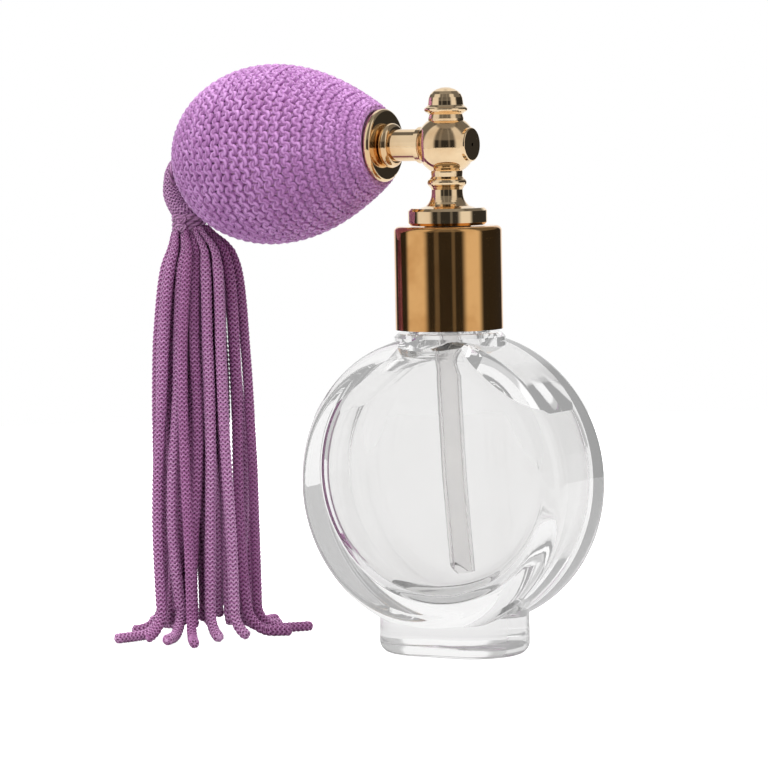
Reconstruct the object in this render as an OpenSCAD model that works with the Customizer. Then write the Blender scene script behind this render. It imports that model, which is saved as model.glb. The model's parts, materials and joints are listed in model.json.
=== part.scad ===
// Small vintage-style perfume atomiser: flat round flask, screw collar, ball spray head, side arm,
// squeeze bulb with a knitted cover, and a hanging tassel.
// Frame: origin at the centre of the foot's underside, +Z up, +X from the squeeze bulb to the nozzle.

/* [Flask] */
// Radius of the round glass body
body_r = 21.7; // [20:0.1:23]
// Thickness of the glass body, front to back
body_t = 17; // [16.4:0.1:19]
// Height of the body's centre above the table
body_z = 25.2; // [25:0.1:26]
// Radius of the rounded rim edges
rim_edge_r = 2.5; // [1.5:0.1:3]
// Radius of the hollow inside
hollow_r = 19.3; // [17:0.1:19.5]
// Thickness of the hollow, front to back
hollow_t = 13.2; // [11:0.1:13.5]
// Length of the foot
foot_w = 23; // [20:0.5:26]
// Depth of the foot, front to back
foot_d = 16; // [14:0.5:16]

/* [Neck and thread] */
// Outer radius of the glass neck
neck_r = 6.0; // [5.8:0.05:6.1]
// Radius of the neck's bore
bore_r = 4.7; // [4.5:0.05:4.9]
// Height of the neck's rim
neck_top = 59.5; // [59:0.1:59.5]
// Thread pitch
pitch = 2.8; // [2.4:0.1:3]
// Turns of thread on the neck and in the collar
thread_turns = 1.75; // [1:0.25:1.75]

/* [Collar] */
// Outer radius of the metal ferrule
ferrule_r = 7.9; // [7.8:0.05:8.2]
// Wall of the metal ferrule
ferrule_wall = 0.4; // [0.3:0.05:0.45]

/* [Spray head] */
// Radius of the head's ball
ball_r = 4.45; // [4.3:0.05:4.6]
// Height of the nozzle and arm axis
arm_z = 74.6; // [74.4:0.1:74.8]
// Outer radius of the side arm
arm_r = 2.35; // [2.2:0.05:2.5]
// Radius of the flange plate in front of the bulb
flange_r = 5.4; // [5:0.1:6]

/* [Squeeze bulb] */
// Length of the knitted cover along the bulb's axis
bulb_len = 34.4; // [34:0.1:35]
// Largest radius of the knitted cover
bulb_r = 13.4; // [13:0.1:14]
// Angle that the bulb droops by
droop = 3.5; // [2.5:0.5:4]
// Thickness of the knit
knit_t = 0.8; // [0.6:0.1:0.9]
// Wall of the rubber bulb
rubber_t = 1.6; // [1.2:0.1:1.8]

/* [Tassel] */
// Largest radius of the hanging skirt of cords
skirt_r = 8.1; // [7.5:0.1:8.3]
// Gap between the skirt's ends and the table
skirt_gap = 0.3; // [0.2:0.1:1]

/* [Hidden] */
$fn = 96;

gold = "#e6cfa6";
amber_gold = "#cda268";
clear_plastic = "#f1efe8";
lilac = "#b07cc0";
mauve = "#a8719a";

// Heights in the neck stack
foot_h = 7.5;
foot_edge = 1.75;
boss_top = 47.2;
plug_bottom = 52;
gasket_t = 0.7;
seat_z = neck_top + gasket_t;
stem_flange_t = 0.7;
swivel_z = seat_z + stem_flange_t + 0.05;
swivel_t = 0.6;
insert_plate_z = swivel_z + swivel_t + 0.05;
insert_plate_t = 0.7;
ferrule_plate_z = insert_plate_z + insert_plate_t;
ferrule_top = ferrule_plate_z + 0.5;
ferrule_bottom = 47.7;
head_z = ferrule_top + 0.1;

// Radii in the neck stack, and the running gap between turning parts
run_gap = 0.15;
plug_r = bore_r - run_gap;
flange_in_r = 6.6;
insert_r = ferrule_r - ferrule_wall;
insert_bore_r = neck_r + 0.95;
spigot_r = 2.0;
swivel_tube_r = 3.4;
spigot_top = 64.2;
swivel_top = 65.2;
seal_z = 63.2;
seal_wire = 0.27;
liquid_r = 0.8;

// Thread: a ridge that stands 0.8 out of its wall
ridge_h = 0.8;
thread_z = 51.6;
thread_sides = 24;

// Dip tube
tube_r = 1.8;
tube_bore = 1.25;
tube_top = 56;
tube_end = 12;
tube_lean = 2.0;

// Places along the side arm, measured from the bottle's axis
nozzle_x = 4.33;
root_x = -3.6;
tube_x = -4.3;
ring_x = -8.4;
flange_x = -10.0;
bulb_x = -11.2;
nipple_x = -17.4;
valve_r = 1.2;
check_ball_r = 1.05;
nozzle_r = 2.48;
stub_r = 1.9;
stud_r = 1.2;
arm_pin_x = -1.8;
arm_pin_r = 1.6;
root_r = 2.7;
ring_r = 3.3;
plug_fit_r = 1.1;
air_r = 0.6;

// Squeeze bulb: the tail is an ellipse, the front a sine from the mouth
widest_s = 18.6;
mouth_r = 5.95;
tail_len = bulb_len - widest_s;

// Tail valve and tassel, measured along the bulb's axis from its mouth
valve_s = 27.3;
valve_end = 32.9;
bulb_gap = 0.45;
eye_s = 35.6;
eye_r = 0.75;
eye_wire = 0.25;
loop_r = 2.0;
loop_wire = 0.35;
eye_x = bulb_x - eye_s * cos(droop);
eye_z = arm_z - eye_s * sin(droop);
loop_z = eye_z - loop_r;
pin_z = loop_z - loop_r;
tie_x = -44.9;
tie_top = 64.2;
tie_bottom = 61.4;
tie_r = 2.7;
tie_core_r = 1.9;
skirt_x = -43.5;
hem_r = skirt_r + 1.5;

// A solid disc about Y with rounded rim edges
module puck(r, t, edge) {
    rotate([90, 0, 0]) {
        cylinder(r = r - edge, h = t, center = true);
        cylinder(r = r, h = t - 2 * edge, center = true);
        for (side = [-1, 1])
            translate([0, 0, side * (t / 2 - edge)])
                rotate_extrude() translate([r - edge, 0]) circle(r = edge);
    }
}

// A cylinder along +X from x0 to x1 at the arm's height
module along_x(r, x0, x1) {
    translate([x0, 0, arm_z]) rotate([0, 90, 0]) cylinder(r = r, h = x1 - x0);
}

// Local +Z runs from the bulb's mouth to its tail
module along_bulb(s = 0) {
    translate([bulb_x, 0, arm_z]) rotate([0, -90 - droop, 0]) translate([0, 0, s]) children();
}

module torus(major, minor) {
    rotate_extrude() translate([major, 0]) circle(r = minor);
}

// Helical ridge: a trapezoid swept round, with tapered ends
function ridge_points(wall_r, tip_r, turns, z0) = [
    for (i = [0 : turns * thread_sides])
        let (
            angle = 360 * i / thread_sides,
            fade = min(1, 0.2 + i / 5, 0.2 + (turns * thread_sides - i) / 5),
            tip = wall_r + (tip_r - wall_r) * fade,
            z = z0 + pitch * i / thread_sides
        )
        each [for (p = [[wall_r, -0.55], [tip, -0.25], [tip, 0.25], [wall_r, 0.55]])
            [p[0] * cos(angle), p[0] * sin(angle), z + p[1]]]
];

function ridge_faces(rings, inward) = [
    for (i = [0 : rings - 2]) for (j = [0 : 3])
        let (a = 4 * i + j, b = 4 * i + (j + 1) % 4, c = b + 4, d = a + 4)
        each inward ? [[a, c, b], [a, d, c]] : [[a, b, c], [a, c, d]],
    inward ? [0, 1, 2, 3] : [3, 2, 1, 0],
    let (last = 4 * (rings - 1), cap = [last, last + 1, last + 2, last + 3])
        inward ? [cap[3], cap[2], cap[1], cap[0]] : cap
];

module thread_ridge(wall_r, tip_r, z0) {
    rings = thread_turns * thread_sides + 1;
    polyhedron(
        points = ridge_points(wall_r, tip_r, thread_turns, z0),
        faces = ridge_faces(rings, tip_r < wall_r),
        convexity = 6
    );
}

// Radius of the knitted cover at s along the bulb, for a surface drawn in by inset
function cover_r(s, inset = 0) = s < widest_s
    ? mouth_r - inset + (bulb_r - mouth_r) * sin(90 * pow(max(s, 0) / widest_s, 0.93))
    : (bulb_r - inset) * sqrt(max(0, 1 - pow((s - widest_s) / (tail_len - inset), 2)));

// Outline of the bulb from s0 to the tail, drawn in by inset
function bulb_outline(s0, inset) = [
    [0, s0],
    for (i = [0 : 9]) let (s = s0 + (widest_s - s0) * i / 9) [cover_r(s, inset), s],
    for (a = [8 : 8 : 88])
        let (s = widest_s + (tail_len - inset) * sin(a)) [(bulb_r - inset) * cos(a), s],
    [0, widest_s + tail_len - inset]
];

module bulb_solid(s0, inset) {
    rotate_extrude() polygon(bulb_outline(s0, inset));
}

// Glass foot with straight sides, round ends and a rounded lower edge
module foot() {
    half = (foot_w - foot_d) / 2;
    r = foot_d / 2;
    for (side = [-1, 1]) translate([side * half, 0, 0]) {
        translate([0, 0, foot_edge]) cylinder(r = r, h = foot_h - foot_edge);
        cylinder(r = r - foot_edge, h = foot_edge);
        translate([0, 0, foot_edge]) torus(r - foot_edge, foot_edge);
    }
    translate([-half, -r, foot_edge]) cube([2 * half, foot_d, foot_h - foot_edge]);
    translate([-half, foot_edge - r, 0]) cube([2 * half, foot_d - 2 * foot_edge, foot_edge]);
    for (side = [-1, 1])
        translate([-half, side * (r - foot_edge), foot_edge])
            rotate([0, 90, 0]) cylinder(r = foot_edge, h = 2 * half);
}

module flask_hollow() {
    intersection() {
        translate([0, 0, body_z + 1.7]) puck(hollow_r, hollow_t, 3.5);
        rotate([90, 0, 0]) linear_extrude(height = 2 * body_t, center = true)
            polygon([[-30, 0], [30, 0], [30, 26], [5, 44.6], [-5, 44.6], [-30, 26]]);
    }
    translate([0, 0, body_z]) cylinder(r = bore_r, h = neck_top);
}

module glass_bottle() {
    color("#dfe9ea", 0.4) difference() {
        union() {
            translate([0, 0, body_z]) puck(body_r, body_t, rim_edge_r);
            foot();
            // shoulder boss, blended by a short cone
            translate([0, 0, boss_top - 2.4]) cylinder(r1 = 8.4, r2 = 8.2, h = 1.8);
            translate([0, 0, boss_top - 0.6]) cylinder(r1 = 8.2, r2 = 7.6, h = 0.6);
            translate([0, 0, body_z]) cylinder(r = neck_r, h = neck_top - body_z);
            thread_ridge(neck_r - 0.15, neck_r + ridge_h, thread_z);
        }
        flask_hollow();
    }
}

module stem_core() {
    color(clear_plastic) difference() {
        union() {
            translate([0, 0, plug_bottom]) cylinder(r = plug_r, h = seat_z - plug_bottom);
            translate([0, 0, seat_z]) cylinder(r = flange_in_r, h = stem_flange_t);
            translate([0, 0, seat_z]) cylinder(r = spigot_r, h = spigot_top - seat_z);
        }
        translate([0, 0, plug_bottom - 1]) cylinder(r = tube_r, h = tube_top - plug_bottom + 1);
        translate([0, 0, plug_bottom]) cylinder(r = liquid_r, h = spigot_top);
        translate([0, 0, seal_z - seal_wire - 0.03]) difference() {
            cylinder(r = spigot_r + 1, h = 2 * seal_wire + 0.06);
            translate([0, 0, -1]) cylinder(r = spigot_r - 2 * seal_wire - 0.01, h = 3);
        }
    }
}

module swivel_seal() {
    color("#3a3a3a") translate([0, 0, seal_z]) torus(spigot_r - seal_wire, seal_wire);
}

module neck_gasket() {
    color("#e9e4d8") translate([0, 0, neck_top]) difference() {
        cylinder(r = flange_in_r, h = gasket_t);
        translate([0, 0, -1]) cylinder(r = plug_r, h = 3);
    }
}

// Straight in the stem, then a slight curve towards the nozzle side
module dip_tube() {
    drop = plug_bottom - tube_end;
    bend_r = (drop * drop + tube_lean * tube_lean) / (2 * tube_lean);
    color("#eef0ee", 0.7) difference() {
        union() {
            translate([0, 0, plug_bottom]) difference() {
                cylinder(r = tube_r, h = tube_top - plug_bottom);
                translate([0, 0, -1]) cylinder(r = tube_bore, h = 9);
            }
            translate([bend_r, 0, plug_bottom]) rotate([90, 0, 0])
                rotate([0, 0, 180]) rotate_extrude(angle = asin(drop / bend_r))
                    translate([bend_r, 0]) difference() {
                        circle(r = tube_r);
                        circle(r = tube_bore);
                    }
        }
        translate([tube_lean, 0, tube_end]) rotate([0, 35, 0])
            translate([-8, -4, -6]) cube([16, 8, 6]);
    }
}

module ferrule() {
    edge = 0.8;
    color(amber_gold) difference() {
        union() {
            translate([0, 0, ferrule_bottom]) cylinder(r = ferrule_r, h = ferrule_top - edge - ferrule_bottom);
            translate([0, 0, ferrule_top - edge]) cylinder(r = ferrule_r - edge, h = edge);
            translate([0, 0, ferrule_top - edge]) torus(ferrule_r - edge, edge);
        }
        translate([0, 0, ferrule_bottom - 1]) cylinder(r = insert_r, h = ferrule_plate_z - ferrule_bottom + 1);
        translate([0, 0, ferrule_plate_z - 1]) cylinder(r = swivel_tube_r + run_gap, h = 3);
    }
}

module threaded_insert() {
    bottom = ferrule_bottom + 0.8;
    color(clear_plastic) {
        difference() {
            translate([0, 0, bottom]) cylinder(r = insert_r, h = ferrule_plate_z - bottom);
            translate([0, 0, bottom - 1]) cylinder(r = insert_bore_r, h = insert_plate_z - bottom + 1);
            translate([0, 0, insert_plate_z - 1]) cylinder(r = swivel_tube_r + run_gap, h = 3);
        }
        thread_ridge(insert_bore_r + 0.15, insert_bore_r - ridge_h, thread_z - pitch / 2);
    }
}

// Flange that the collar holds down, with the tube that carries the head
module swivel_seat() {
    color(clear_plastic) difference() {
        union() {
            translate([0, 0, swivel_z]) cylinder(r = 5.6, h = swivel_t);
            translate([0, 0, swivel_z]) cylinder(r = swivel_tube_r, h = swivel_top - swivel_z);
        }
        translate([0, 0, swivel_z - 1]) cylinder(r = spigot_r + 0.05, h = spigot_top + 0.1 - swivel_z + 1);
        translate([0, 0, swivel_z]) cylinder(r = liquid_r, h = 9);
    }
}

// Step disc, waist and ball in one casting
module spray_head() {
    z0 = head_z;
    step_top = 65.4;
    ball_cut = 3.5;
    color(gold) difference() {
        union() {
            rotate_extrude() polygon([
                [0, z0], [5.4, z0], [5.8, z0 + 0.4], [5.8, step_top - 0.4], [5.4, step_top], [4.2, step_top],
                for (i = [0 : 8]) let (u = i / 8) [2.3 + 0.9 * pow(1 - u, 3), step_top + 0.3 + 2.4 * u],
                for (a = [-60 : 20 : 60]) [2.2 + 0.7 * cos(a), 69.1 + 0.65 * sin(a)],
                [2.3, 70], [2.35, 70.6], [2.2, 71.4], [0, 71.4]
            ]);
            translate([0, 0, arm_z]) intersection() {
                sphere(r = ball_r);
                translate([-5, -5, -5]) cube([10, 10, 5 + ball_cut]);
            }
        }
        translate([0, 0, z0 - 1]) cylinder(r = swivel_tube_r, h = swivel_top - z0 + 1);
        translate([0, 0, 60]) cylinder(r = liquid_r, h = arm_z - 60);
        translate([0, 0, arm_z + 1.9]) cylinder(r = stud_r, h = 4);
        along_x(nozzle_r, 2.9, 6);
        along_x(stub_r, 1.2, 6);
        along_x(air_r, -2, 2);
        along_x(arm_pin_r, -7, arm_pin_x);
        along_x(root_r, -8, root_x);
    }
}

module finial() {
    z0 = arm_z + 3.5;
    color(gold) {
        translate([0, 0, arm_z + 1.9]) cylinder(r = stud_r, h = 1.7);
        rotate_extrude() polygon([
            [0, z0], [2.58, z0], [2.62, z0 + 0.35], [2.44, z0 + 0.95],
            for (a = [-60 : 20 : 60]) [2.6 + 0.6 * cos(a), z0 + 1.65 + 0.45 * sin(a)],
            [2.62, z0 + 2.3], [2.55, z0 + 2.9],
            for (a = [10 : 16 : 90]) [2.5 * cos(a), z0 + 3.1 + 1.8 * sin(a)]
        ]);
    }
}

module nozzle_tip() {
    edge = 0.25;
    color(gold) difference() {
        union() {
            along_x(nozzle_r, 2.9, nozzle_x - edge);
            along_x(nozzle_r - edge, 2.9, nozzle_x);
            translate([nozzle_x - edge, 0, arm_z]) rotate([0, 90, 0]) torus(nozzle_r - edge, edge);
            along_x(stub_r, 1.2, 2.9);
        }
        along_x(plug_fit_r, 1.2, 3.4);
        along_x(0.25, 1, 6);
    }
}

// Slotted plug that makes the air pick the perfume up before the orifice
module mixing_plug() {
    color(clear_plastic) difference() {
        along_x(plug_fit_r, 1.2, 3.1);
        for (side = [-1, 1])
            translate([1, side * plug_fit_r - 0.2, arm_z - 0.2]) cube([3, 0.4, 0.4]);
        along_x(0.3, 1, 2.4);
    }
}

module air_arm() {
    color(gold) difference() {
        union() {
            along_x(arm_pin_r, root_x, arm_pin_x);
            along_x(root_r, tube_x, root_x);
            along_x(arm_r, ring_x, tube_x);
            along_x(stub_r, bulb_x, ring_x);
        }
        along_x(air_r, bulb_x - 1, 0);
    }
}

module arm_ring() {
    edge = (ring_x - flange_x) / 2;
    color(gold) difference() {
        union() {
            along_x(ring_r - edge, flange_x, ring_x);
            translate([flange_x + edge, 0, arm_z]) rotate([0, 90, 0]) torus(ring_r - edge, edge);
        }
        along_x(stub_r, flange_x - 1, ring_x + 1);
    }
}

module flange_plate() {
    edge = 0.5;
    color(gold) difference() {
        union() {
            along_x(flange_r - edge, bulb_x, flange_x);
            along_x(flange_r, bulb_x + edge, flange_x - edge);
            for (x = [bulb_x + edge, flange_x - edge])
                translate([x, 0, arm_z]) rotate([0, 90, 0]) torus(flange_r - edge, edge);
        }
        along_x(stub_r, bulb_x - 1, flange_x + 1);
    }
}

// Barbed spout that the rubber is pushed on to; it holds the outlet valve
module bulb_nipple() {
    color("#c9ccd0") difference() {
        union() {
            along_x(2.3, nipple_x, bulb_x);
            for (x = [-13.6, -15.6])
                translate([x, 0, arm_z]) rotate([0, -90, 0]) cylinder(r1 = 2.7, r2 = 2.3, h = 1);
        }
        along_x(air_r, nipple_x - 1, bulb_x + 1);
        along_x(valve_r, nipple_x - 1, -13.2);
    }
}

module outlet_seat() {
    color("#e8e4da") difference() {
        along_x(valve_r, nipple_x, -16.2);
        along_x(air_r, nipple_x - 1, -16);
    }
}

module outlet_ball() {
    color("#9ea2a6") translate([-15.1, 0, arm_z]) sphere(r = check_ball_r);
}

module rubber_bulb() {
    color(mauve) along_bulb() difference() {
        bulb_solid(bulb_gap, knit_t + 0.05);
        bulb_solid(5.5, knit_t + 0.05 + rubber_t);
        translate([0, 0, -1]) cylinder(r = 3.0, h = 9);
        translate([0, 0, valve_s - 4]) cylinder(r = 2.2, h = 20);
        translate([0, 0, valve_end - 0.7]) cylinder(r = 2.8, h = 9);
    }
}

module knit_cover() {
    color(lilac) along_bulb() difference() {
        bulb_solid(bulb_gap, 0);
        bulb_solid(-0.2, knit_t);
        translate([0, 0, valve_end - 1]) cylinder(r = 1.2, h = 9);
    }
}

// Tail plug with the inlet valve's seat; the ball opens towards the bulb
module inlet_valve() {
    color("#c9ccd0") along_bulb() difference() {
        union() {
            translate([0, 0, valve_s]) cylinder(r = 2.2, h = valve_end - valve_s);
            translate([0, 0, valve_end - 0.7]) cylinder(r = 2.8, h = 0.7);
        }
        translate([0, 0, valve_s - 1]) cylinder(r = valve_r, h = 4.6);
        translate([0.9, 0, valve_s + 2]) cylinder(r = 0.35, h = 9);
        translate([0, 0, valve_s + 2]) cylinder(r = air_r, h = 2.6);
    }
}

module inlet_cage() {
    color("#e8e4da") along_bulb(valve_s) difference() {
        cylinder(r = valve_r, h = 0.8);
        translate([0, 0, -1]) cylinder(r = air_r, h = 3);
    }
}

module inlet_ball() {
    color("#9ea2a6") along_bulb(valve_s + 2.5) sphere(r = check_ball_r);
}

// Wire eye on the tail plug that the tassel's loop passes through
module tail_eye() {
    color("#c9ccd0") {
        along_bulb(valve_end) cylinder(r = 0.3, h = eye_s - eye_r - valve_end);
        along_bulb(eye_s) rotate([90, 0, 0]) torus(eye_r, eye_wire);
    }
}

module tassel_loop() {
    color(lilac) translate([eye_x, 0, loop_z]) rotate([0, 90, 0]) torus(loop_r, loop_wire);
}

module tassel_head() {
    color(lilac) {
        difference() {
            union() {
                translate([eye_x, 0, pin_z]) rotate([90, 0, 0]) cylinder(r = 1.1, h = 1.5, center = true);
                translate([eye_x, 0, pin_z - 1.6]) cylinder(r = 0.75, h = 1.2);
            }
            translate([eye_x, 0, pin_z]) rotate([90, 0, 0]) cylinder(r = 0.55, h = 4, center = true);
        }
        hull() {
            translate([eye_x + 0.2, 0, pin_z - 2.4]) sphere(r = 1.5, $fn = 32);
            translate([tie_x, 0, tie_top]) cylinder(r = tie_core_r, h = 0.2, $fn = 32);
        }
        translate([tie_x, 0, tie_bottom]) cylinder(r = tie_core_r, h = tie_top - tie_bottom);
    }
}

module tassel_tie() {
    edge = 0.9;
    color(lilac) translate([tie_x, 0, tie_bottom]) difference() {
        union() {
            translate([0, 0, edge]) torus(tie_r - edge, edge);
            translate([0, 0, edge]) cylinder(r = tie_r, h = tie_top - tie_bottom - 2 * edge);
            cylinder(r = tie_r - edge, h = tie_top - tie_bottom);
            translate([0, 0, tie_top - tie_bottom - edge]) torus(tie_r - edge, edge);
        }
        translate([0, 0, -1]) cylinder(r = tie_core_r, h = 9);
    }
}

// The hanging cords as one solid bell, with the ends that lie spread on the table as its hem
module tassel_skirt() {
    color(mauve) translate([skirt_x, 0, 0]) rotate_extrude() polygon([
        [0, skirt_gap], [hem_r, skirt_gap], [hem_r, skirt_gap + 1.4], [skirt_r, 5.5], [skirt_r, 26],
        [skirt_r - 0.9, 43], [skirt_r - 1.5, 51], [skirt_r - 2, 55.4], [skirt_r - 3.1, 60],
        [tie_r, tie_bottom], [0, tie_bottom]
    ]);
}

glass_bottle();
stem_core();
swivel_seal();
neck_gasket();
dip_tube();
ferrule();
threaded_insert();
swivel_seat();
spray_head();
finial();
nozzle_tip();
mixing_plug();
air_arm();
arm_ring();
flange_plate();
bulb_nipple();
outlet_seat();
outlet_ball();
rubber_bulb();
knit_cover();
inlet_valve();
inlet_cage();
inlet_ball();
tail_eye();
tassel_loop();
tassel_head();
tassel_tie();
tassel_skirt();
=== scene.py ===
"""Looks of a small perfume atomiser: clear flask, gold-plated spray head, knitted squeeze bulb and tassel.

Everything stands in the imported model's own frame, in metres. Sizes below are written in millimetres where
that is easier to read, and MM turns them into metres.
"""

import json
import logging
import math
import random
from dataclasses import dataclass, field
from enum import Enum
from typing import Callable, Dict, List, Optional, Sequence, Tuple, Union

import bpy
import numpy as np
from mathutils import Matrix, Vector


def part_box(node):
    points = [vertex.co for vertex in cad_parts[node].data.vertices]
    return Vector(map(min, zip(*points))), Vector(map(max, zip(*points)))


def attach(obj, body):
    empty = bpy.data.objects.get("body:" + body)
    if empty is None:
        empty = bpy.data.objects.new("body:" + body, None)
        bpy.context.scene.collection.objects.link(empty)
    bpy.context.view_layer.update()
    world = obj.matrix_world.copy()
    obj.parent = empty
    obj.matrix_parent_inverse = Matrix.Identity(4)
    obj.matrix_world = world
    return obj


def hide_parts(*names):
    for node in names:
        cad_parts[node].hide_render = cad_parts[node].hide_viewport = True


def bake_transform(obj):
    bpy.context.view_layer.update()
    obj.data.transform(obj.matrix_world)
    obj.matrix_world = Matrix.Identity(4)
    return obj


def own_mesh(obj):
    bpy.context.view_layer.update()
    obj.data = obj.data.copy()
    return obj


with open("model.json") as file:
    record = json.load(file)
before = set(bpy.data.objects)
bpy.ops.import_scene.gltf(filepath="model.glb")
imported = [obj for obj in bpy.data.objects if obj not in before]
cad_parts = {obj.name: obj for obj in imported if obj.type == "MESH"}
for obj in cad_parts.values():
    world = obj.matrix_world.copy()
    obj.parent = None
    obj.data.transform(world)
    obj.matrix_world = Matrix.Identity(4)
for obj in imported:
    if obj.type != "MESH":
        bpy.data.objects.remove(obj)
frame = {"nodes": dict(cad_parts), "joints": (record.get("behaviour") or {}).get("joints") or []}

MM = 0.001
THREAD_UV = "thread"
log = logging.getLogger("atomiser")

Colour = Tuple[float, float, float]
Node, Tree, Output = bpy.types.Node, bpy.types.NodeTree, bpy.types.NodeSocket
Material, Piece = bpy.types.Material, bpy.types.Object
Socket = Union[Output, float, Colour]


def tone(red: int, green: int, blue: int) -> Colour:
    """Turns a display colour into the linear one that shaders use.

    Args:
        red: Red, from 0 to 255.
        green: Green, from 0 to 255.
        blue: Blue, from 0 to 255.

    Returns:
        The linear colour, each channel from 0 to 1.
    """
    channels = [value / 255 for value in (red, green, blue)]
    linear = [c / 12.92 if c <= 0.04045 else ((c + 0.055) / 1.055) ** 2.4 for c in channels]
    return linear[0], linear[1], linear[2]


# ---------------------------------------------------------------- shader wiring


class Wiring:
    """Adds nodes to one node tree and joins them up."""

    def __init__(self, tree: Tree) -> None:
        """Keeps the tree that the nodes go into."""
        self.tree = tree

    def add(self, kind: str, **settings: object) -> Node:
        """Adds one node.

        Args:
            kind: The node's type name.
            **settings: Properties set on it.

        Returns:
            The new node.
        """
        node = self.tree.nodes.new(kind)
        for name, value in settings.items():
            setattr(node, name, value)
        return node

    def feed(self, target: Output, source: Socket) -> None:
        """Links a socket, or sets its own value when the source is a plain number or colour."""
        if isinstance(source, Output):
            self.tree.links.new(source, target)
        elif isinstance(source, tuple) and len(source) == 3 and target.type == "RGBA":
            target.default_value = (*source, 1.0)
        else:
            target.default_value = source

    def give(self, node: Node, sources: Dict[str, Socket]) -> None:
        """Feeds several inputs of a node by name."""
        for name, source in sources.items():
            self.feed(node.inputs[name], source)

    def sum(self, operation: str, first: Socket, second: Socket = 0.0) -> Output:
        """Adds a Math node.

        Args:
            operation: The Math node's operation.
            first: First value.
            second: Second value, where the operation takes two.

        Returns:
            The node's value.
        """
        node = self.add("ShaderNodeMath", operation=operation)
        self.feed(node.inputs[0], first)
        self.feed(node.inputs[1], second)
        return node.outputs[0]

    def times(self, first: Socket, second: Socket) -> Output:
        """Multiplies two values."""
        return self.sum("MULTIPLY", first, second)

    def plus(self, first: Socket, second: Socket) -> Output:
        """Adds two values."""
        return self.sum("ADD", first, second)

    def spread(
        self, value: Socket, low: float, high: float, to_low: float = 0.0, to_high: float = 1.0
    ) -> Output:
        """Maps a value smoothly from one range to another.

        Args:
            value: What is mapped.
            low: Start of the range it comes from.
            high: End of the range it comes from.
            to_low: Result at low.
            to_high: Result at high.

        Returns:
            The mapped value.
        """
        node = self.add("ShaderNodeMapRange", interpolation_type="SMOOTHSTEP")
        for socket, source in zip(node.inputs[:5], (value, low, high, to_low, to_high)):
            self.feed(socket, source)
        return node.outputs[0]

    def mix(self, share: Socket, first: Socket, second: Socket) -> Output:
        """Mixes two colours.

        Args:
            share: How much of the second one shows.
            first: Colour at 0.
            second: Colour at 1.

        Returns:
            The mixed colour.
        """
        node = self.add("ShaderNodeMix", data_type="RGBA")
        self.feed(node.inputs[0], share)
        self.feed(node.inputs[6], first)
        self.feed(node.inputs[7], second)
        return node.outputs[2]

    def blend(self, share: Socket, first: Socket, second: Socket) -> Output:
        """Mixes two values.

        Args:
            share: How much of the second one counts.
            first: Value at 0.
            second: Value at 1.

        Returns:
            The mixed value.
        """
        node = self.add("ShaderNodeMix", data_type="FLOAT")
        for socket, source in zip((node.inputs[0], node.inputs[2], node.inputs[3]), (share, first, second)):
            self.feed(socket, source)
        return node.outputs[0]

    def strip(self, value: Socket, middle: float, half: float) -> Output:
        """Gives 1 near a middle value, falling smoothly to 0 at half a width from it."""
        return self.spread(self.sum("ABSOLUTE", self.sum("SUBTRACT", value, middle)), half, 0.4 * half)

    def grey(self, level: Output) -> Output:
        """Turns a brightness into a neutral colour."""
        node = self.add("ShaderNodeCombineColor")
        for socket in node.inputs:
            self.feed(socket, level)
        return node.outputs[0]

    def speckle(
        self, vector: Socket, scale: Socket, detail: float = 2.0, stretch: Tuple[float, ...] = (1, 1, 1)
    ) -> Output:
        """Adds noise on the given coordinates.

        Args:
            vector: The coordinates.
            scale: Noise cells per unit.
            detail: Octaves of finer noise.
            stretch: Factor along each coordinate.

        Returns:
            The noise, about 0.5 on average.
        """
        mapping = self.add("ShaderNodeMapping")
        mapping.inputs["Scale"].default_value = stretch
        self.feed(mapping.inputs["Vector"], vector)
        noise = self.add("ShaderNodeTexNoise")
        self.feed(noise.inputs["Vector"], mapping.outputs[0])
        self.feed(noise.inputs["Scale"], scale)
        noise.inputs["Detail"].default_value = detail
        return noise.outputs["Fac"]


class Effect(Enum):
    """Surface effects that several materials share, each a shader node group."""

    HANDLING = "handling_marks"
    MOULDED = "moulded_skin"
    PLIED = "plied_yarn"
    CHAINED = "chain_knit"


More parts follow.
